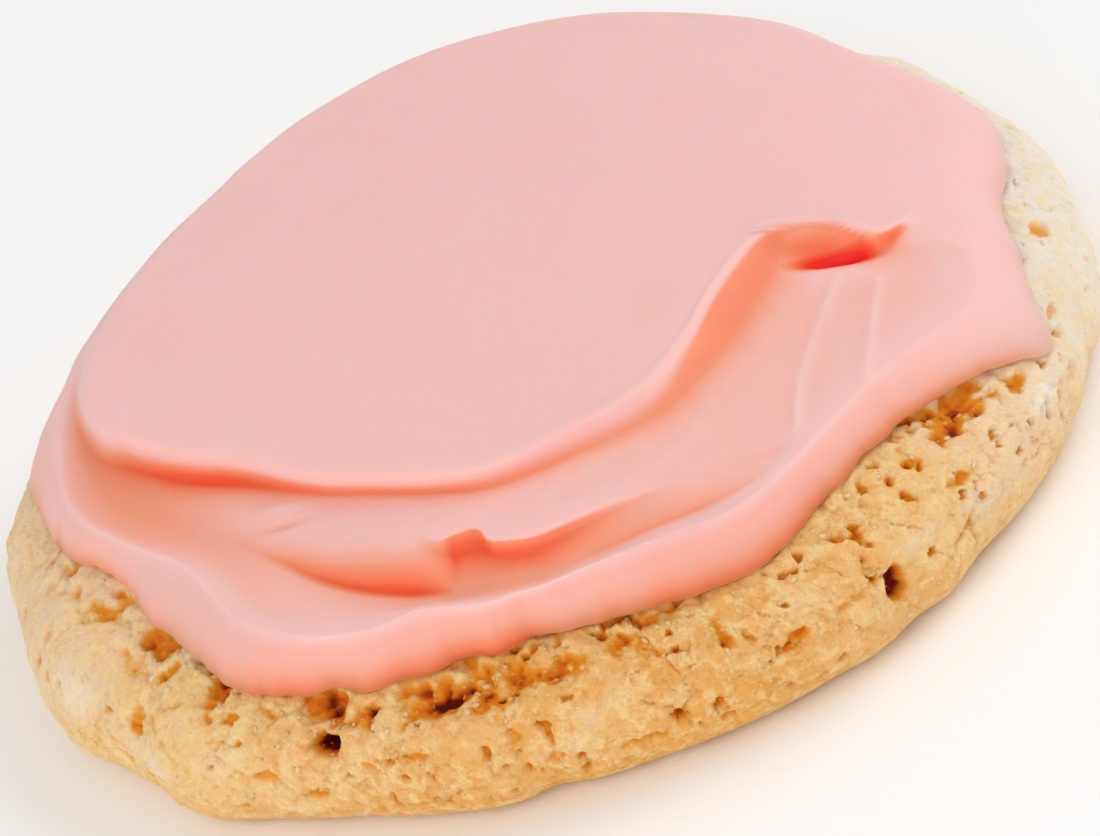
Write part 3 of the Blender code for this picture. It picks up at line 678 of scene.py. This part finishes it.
def enclosed(x, y, height):
    # how far each point lies below the mean height near it, in mm: the coat is sampled on a square
    # grid, blurred by Gaussians of 0.7 and 2 mm by way of its Fourier transform, and read back
    step, half = 0.3, 46.0
    axis = np.arange(-half, half + step, step)
    gx, gy = np.meshgrid(axis, axis, indexing="ij")
    x0, y0 = form["middle"]
    gridAngle = np.degrees(np.arctan2(gy - y0, gx - x0))
    away = np.hypot(gx - x0, gy - y0)
    level = icingTop(gx.ravel(), gy.ravel())[0].reshape(gx.shape)
    line = around(gridAngle, coat["roll"])[0]
    level = level - np.clip(away - line, 0, 6) * 1.2
    wave = np.fft.fftfreq(len(axis), step)
    waves = wave[:, None] ** 2 + wave[None, :] ** 2
    blur = sum(0.5 * np.exp(-2 * (math.pi * sigma) ** 2 * waves) for sigma in (0.7, 2.0))
    soft = np.fft.ifft2(np.fft.fft2(level) * blur).real
    u, v = (x + half) / step, (y + half) / step
    i, j = np.floor(u).astype(int), np.floor(v).astype(int)
    u, v = u - i, v - j
    return ((soft[i, j] * (1 - u) + soft[i + 1, j] * u) * (1 - v)
            + (soft[i, j + 1] * (1 - u) + soft[i + 1, j + 1] * u) * v) - height


def makeIcing():
    angle = spokeAngles(coat["spokes"], 24)
    rim = rimRadius(angle)
    circle = np.stack([np.cos(np.radians(angle)), np.sin(np.radians(angle)), 0 * angle], 1)
    edge = edgeRadius(angle) + 0.26 * softNoise(40 * circle, 3.2, 71) + 0.16 * softNoise(40 * circle, 1.3, 72)
    radii = ringLayout(angle, edge)
    x0, y0 = form["middle"]
    x, y = x0 + radii * circle[:, 0], y0 + radii * circle[:, 1]
    height, xs, ys, shadeAmount = icingTop(x.ravel(), y.ravel())
    shape = radii.shape
    top = np.stack([xs.reshape(shape), ys.reshape(shape), height.reshape(shape)], -1)
    # painted shade: how far a point lies below the mean height near it, plus the painted shade at the crest step, fold,
    # ledge and band
    paintedShade = np.clip(enclosed(x.ravel(), y.ravel(), height), -1, 0.7) * 0.45 + 0.75 * shadeAmount
    # face of the edge: from the raised line out and down round a full curve to the crumb
    out, up = domeNormal(edge, rim)
    end = np.stack([edge - coat["edgeSink"] * out, dome(edge, rim) - coat["edgeSink"] * up], 0)
    line, startZ = radii[-1], top[-1, :, 2]
    rows, shadeRows = [], [paintedShade]
    flatness, = around(angle, coat["face"])
    faceShade, edgeShade = around(angle, coat["faceShade"])
    folds = softNoise(40 * circle, 5.0, 73) + 0.5 * softNoise(40 * circle, 2.2, 74)
    for v in np.sin(np.radians(np.linspace(0, 90, coat["rings"][-1] + 1)[1:])):
        r = line + (end[0] - line) * v + 0.2 * v**6
        fall = ((0.86 * np.maximum(1 - v**1.8, 0) ** 0.75 + 0.14 * (1 - v)) * (1 - flatness)
                + flatness * (0.72 * (1 - v) + 0.28 * (1 - v**7)))
        z = end[1] + (startZ - end[1]) * fall
        r = r + 0.22 * folds * math.sin(math.pi * v) * flatness
        rows.append(np.stack([x0 + r * circle[:, 0], y0 + r * circle[:, 1], z], -1))
        # painted shade down the face, stronger towards its thin lowest edge
        thin = (0.17 + 0.04 * folds) * ease(v / 0.35) + (0.4 + 0.1 * folds) * v**4
        shadeRows.append(thin * faceShade + 0.4 * edgeShade * v**14)
    for r in (end[0] - 0.4, edge * 0.94, edge * 0.85, edge * 0.5):
        rows.append(np.stack([x0 + r * circle[:, 0], y0 + r * circle[:, 1],
                              np.minimum(dome(r, rim), coat["bed"]) + coat["gap"]], -1))
        shadeRows.append(0.5 + 0 * r)
    rings = np.concatenate([top, np.array(rows)])
    # disc inside the rings, with fewer spokes
    few = angle[::coat["discShare"]]
    far = np.linspace(0.5, coat["discRadius"] - 0.35, coat["discRings"])[:, None] + 0 * few
    x = np.concatenate([[x0], (x0 + far * np.cos(np.radians(few))).ravel()])
    y = np.concatenate([[y0], (y0 + far * np.sin(np.radians(few))).ravel()])
    height = icingTop(x, y)[0]
    disc = np.stack([x, y, height], 1)
    # painted shade on the disc from how far it lies below the mean height near it
    discPaintedShade = np.clip(enclosed(x, y, height), -1, 0.7) * 0.45
    points = np.concatenate([rings.reshape(-1, 3), [[x0, y0, coat["bed"] + coat["gap"]]], disc])
    count, spokes, share = len(rings), coat["spokes"], coat["discShare"]
    bottom = count * spokes
    first = bottom + 1
    faces = [ringQuads(0, count, spokes), ringQuads(first + 1, len(far), len(few))]
    j, k = np.arange(spokes), (np.arange(spokes) + 1) % spokes
    faces.append(np.stack([bottom + 0 * j, (count - 1) * spokes + k, (count - 1) * spokes + j], 1))
    j, k = np.arange(len(few)), (np.arange(len(few)) + 1) % len(few)
    faces.append(np.stack([first + 0 * j, first + 1 + j, first + 1 + k], 1))
    last = first + 1 + (len(far) - 1) * len(few)
    faces.append(np.stack([last + k, last + j] + [(j * share + m) % spokes for m in range(share + 1)], 1))
    return meshObject("icingCoat", points * mm, faces,
                      {"paintedShade": np.concatenate([np.concatenate(shadeRows), [0.5], discPaintedShade])})


def bakedCrumb(name, scatter):
    # shortbread-like crumb: sugar and flour grains baked dry, matt, cream on the raised plates;
    # painted light makes it paler towards the key lamp, painted shade golden to dark brown in its pits
    material, shader = newMaterial(name)
    place = addNode(material, "ShaderNodeTexCoord", {}).outputs["Object"]
    pitShade = addNode(material, "ShaderNodeAttribute", {"attribute_name": "pitShade"}).outputs["Fac"]
    paintedLight = addNode(material, "ShaderNodeAttribute", {"attribute_name": "paintedLight"}).outputs["Fac"]
    patches = addNode(material, "ShaderNodeTexNoise", {"Scale": 1 / (3.5 * mm), "Detail": 4.0}, {"Vector": place})
    fleck = addNode(material, "ShaderNodeTexNoise", {"Scale": 1 / (0.8 * mm), "Detail": 4.0, "Roughness": 0.7},
                    {"Vector": place})
    # paler bake in slow patches
    wander = addNode(material, "ShaderNodeMapRange", {"From Min": 0.3, "From Max": 0.7, "To Min": -0.3, "To Max": 0.3},
                     {"Value": patches.outputs["Fac"]})
    paler = addNode(material, "ShaderNodeMath", {"operation": "ADD"}, {0: paintedLight, 1: wander.outputs[0]})
    # painted light: the tone runs from golden through cream to near white as paintedLight rises, paler towards the key
    # lamp and on the raised flakes
    low = addNode(material, "ShaderNodeMapRange", {"From Min": 0.0, "From Max": 1.0}, {"Value": paler.outputs[0]})
    high = addNode(material, "ShaderNodeMapRange", {"From Min": 1.0, "From Max": 2.8}, {"Value": paler.outputs[0]})
    first = addNode(material, "ShaderNodeMix", {"data_type": "RGBA", 6: colour("#ecae56"), 7: colour("#f7ca8c")},
                    {0: low.outputs[0]})
    final = addNode(material, "ShaderNodeMix", {"data_type": "RGBA", 7: colour("#fcecdc")},
                    {0: high.outputs[0], 6: first.outputs[2]})
    # cream grains in one noise of 1.3 mm, golden flecks in the high spots of another of 0.8 mm
    cream = addNode(material, "ShaderNodeTexNoise", {"Scale": 1 / (1.3 * mm), "Detail": 5.0, "Roughness": 0.7,
                                                     "Distortion": 0.4}, {"Vector": place})
    spread = addNode(material, "ShaderNodeMapRange", {"From Min": 0.48, "From Max": 0.60, "To Min": 0.0, "To Max": 0.6},
                     {"Value": cream.outputs["Fac"]})
    final = addNode(material, "ShaderNodeMix", {"data_type": "RGBA", 7: colour("#ffdfa4")},
                    {0: spread.outputs[0], 6: final.outputs[2]})
    most = addNode(material, "ShaderNodeMapRange", {"From Min": 0.6, "From Max": 2.4, "To Min": 0.6, "To Max": 0.12},
                   {"Value": paler.outputs[0]})
    spread = addNode(material, "ShaderNodeMapRange", {"From Min": 0.52, "From Max": 0.68, "To Min": 0.0},
                     {"Value": fleck.outputs["Fac"], "To Max": most.outputs[0]})
    final = addNode(material, "ShaderNodeMix", {"data_type": "RGBA", 7: colour("#e0962e")},
                    {0: spread.outputs[0], 6: final.outputs[2]})
    # painted shade: ochre, orange and dark brown-red tints in the pits and hollows, by pitShade
    for low, high, tint in ((0.12, 0.8, "#eea436"), (0.6, 1.2, "#ee921a"), (1.2, 1.9, "#d46006"), (1.8, 2.4, "#6a0a00")):
        share = addNode(material, "ShaderNodeMapRange", {"From Min": low, "From Max": high}, {"Value": pitShade})
        final = addNode(material, "ShaderNodeMix", {"data_type": "RGBA", 7: colour(tint)},
                        {0: share.outputs[0], 6: final.outputs[2]})
    tree = material.node_tree
    tree.links.new(final.outputs[2], shader.inputs["Base Color"])
    grain = addNode(material, "ShaderNodeTexNoise", {"Scale": 1 / (0.45 * mm), "Detail": 6.0, "Roughness": 0.65},
                    {"Vector": place})
    bump = addNode(material, "ShaderNodeBump", {"Strength": 1.0, "Distance": 0.22 * mm}, {"Height": grain.outputs["Fac"]})
    tree.links.new(bump.outputs[0], shader.inputs["Normal"])
    shader.inputs["Roughness"].default_value = 0.82
    shader.inputs["Specular IOR Level"].default_value = 0.25
    shader.inputs["Subsurface Weight"].default_value = scatter
    shader.inputs["Subsurface Radius"].default_value = (1.0, 0.4, 0.1)
    shader.inputs["Subsurface Scale"].default_value = 1.0 * mm
    return material


def buttercream():
    # whipped butter and icing sugar: smooth, satin, light sinks in and comes out redder; the coral, orange and red
    # tints are painted shade in hollows, under overhangs and on faces turned from the lamps
    material, shader = newMaterial("buttercream")
    place = addNode(material, "ShaderNodeTexCoord", {}).outputs["Object"]
    paintedShade = addNode(material, "ShaderNodeAttribute", {"attribute_name": "paintedShade"}).outputs["Fac"]
    cloud = addNode(material, "ShaderNodeTexNoise", {"Scale": 1 / (11 * mm), "Detail": 2.0}, {"Vector": place})
    base = addNode(material, "ShaderNodeMix", {"data_type": "RGBA", 6: colour("#ffc9c5"), 7: colour("#ffc2bc")},
                   {0: cloud.outputs["Fac"]})
    final = base
    # painted shade: coral, orange and red tints, deeper where paintedShade is higher
    for low, high, tint in ((0.03, 0.45, "#ff9f7e"), (0.45, 0.95, "#ff6a38"), (0.95, 1.5, "#ff1a08")):
        share = addNode(material, "ShaderNodeMapRange", {"From Min": low, "From Max": high}, {"Value": paintedShade})
        final = addNode(material, "ShaderNodeMix", {"data_type": "RGBA", 7: colour(tint)},
                        {0: share.outputs[0], 6: final.outputs[2]})
    tree = material.node_tree
    tree.links.new(final.outputs[2], shader.inputs["Base Color"])
    grit = addNode(material, "ShaderNodeTexNoise", {"Scale": 1 / (0.5 * mm), "Detail": 3.0}, {"Vector": place})
    bump = addNode(material, "ShaderNodeBump", {"Strength": 0.25, "Distance": 0.03 * mm}, {"Height": grit.outputs["Fac"]})
    tree.links.new(bump.outputs[0], shader.inputs["Normal"])
    shader.inputs["Roughness"].default_value = 0.48
    shader.inputs["Specular IOR Level"].default_value = 0.3
    shader.inputs["Subsurface Weight"].default_value = 1.0
    shader.inputs["Subsurface Radius"].default_value = (1.0, 0.35, 0.22)
    shader.inputs["Subsurface Scale"].default_value = 1.3 * mm
    return material


def paleFloor():
    # matt white studio card
    material, shader = newMaterial("matteCard")
    shader.inputs["Base Color"].default_value = colour("#ffffff")
    shader.inputs["Roughness"].default_value = 0.9
    shader.inputs["Specular IOR Level"].default_value = 0.1
    return material


cookie = makeCookie()
cookie.data.materials.append(bakedCrumb("bakedCrumb", 0.5))
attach(cookie, "root")
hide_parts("cookie")
grainPiece = makeGrains(cookie)
grainPiece.data.materials.append(bakedCrumb("bakedGrain", 0.0))     # too small to let light through
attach(grainPiece, "root")
print("cookie:", len(cookie.data.polygons), "faces, grains:", len(grainPiece.data.polygons), "faces")

icing = makeIcing()
icing.data.materials.append(buttercream())
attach(icing, "root")
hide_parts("icing")
print("icing:", len(icing.data.polygons), "faces")


studio = {
    "elevation": 33.3, "roll": 23.2, "distance": 320.0,
    "focus": 132.8,                        # lens, for a 36 mm wide sensor
    "shift": (-0.0129, 0.0327),
    "floorSize": 3.0,
}


def makeFloor():
    mesh = bpy.data.meshes.new("floor")
    half = studio["floorSize"] / 2
    mesh.from_pydata([(-half, -half, 0), (half, -half, 0), (half, half, 0), (-half, half, 0)], [], [(0, 1, 2, 3)])
    mesh.materials.append(paleFloor())
    floor = bpy.data.objects.new("floor", mesh)
    bpy.context.scene.collection.objects.link(floor)


def addLight(name, place, size, power, tint):
    # square soft box that faces the cookie
    light = bpy.data.lights.new(name, "AREA")
    light.size = size
    light.energy = power
    light.color = colour(tint)[:3]
    lamp = bpy.data.objects.new(name, light)
    bpy.context.scene.collection.objects.link(lamp)
    lamp.location = place
    away = np.array(place) / np.linalg.norm(place)
    side = np.cross((0, 0, 1), away)
    side = side / np.linalg.norm(side)
    up = np.cross(away, side)
    lamp.matrix_world = Matrix([(side[i], up[i], away[i], place[i]) for i in range(3)] + [(0, 0, 0, 1)])


def makeCamera():
    # axes of the view: back along the elevation, then right and up turned by the roll
    e, r = math.radians(studio["elevation"]), math.radians(studio["roll"])
    back = np.array([0, -math.cos(e), math.sin(e)])
    level, up = np.array([1.0, 0, 0]), np.array([0, math.sin(e), math.cos(e)])
    right = math.cos(r) * level - math.sin(r) * up
    top = math.sin(r) * level + math.cos(r) * up
    place = back * studio["distance"] * mm
    lens = bpy.data.cameras.new("camera")
    lens.sensor_width = 36
    lens.lens = studio["focus"]
    lens.shift_x, lens.shift_y = studio["shift"]
    lens.clip_start = 0.01
    camera = bpy.data.objects.new("camera", lens)
    bpy.context.scene.collection.objects.link(camera)
    camera.matrix_world = Matrix([(right[i], top[i], back[i], place[i]) for i in range(3)] + [(0, 0, 0, 1)])
    bpy.context.scene.camera = camera


makeFloor()
addLight("key", (0.5, 0.12, 0.42), 0.5, 1.6, "#ffffff")
addLight("fill", (-0.28, -0.48, 0.36), 0.6, 1.85, "#fffaf6")
makeCamera()

world = bpy.data.worlds.new("studio")
world.use_nodes = True
world.node_tree.nodes["Background"].inputs["Color"].default_value = (1, 1, 1, 1)
world.node_tree.nodes["Background"].inputs["Strength"].default_value = 0.575
bpy.context.scene.world = world
bpy.context.scene.view_settings.view_transform = "Standard"
print("stage: floor, lights and camera set")
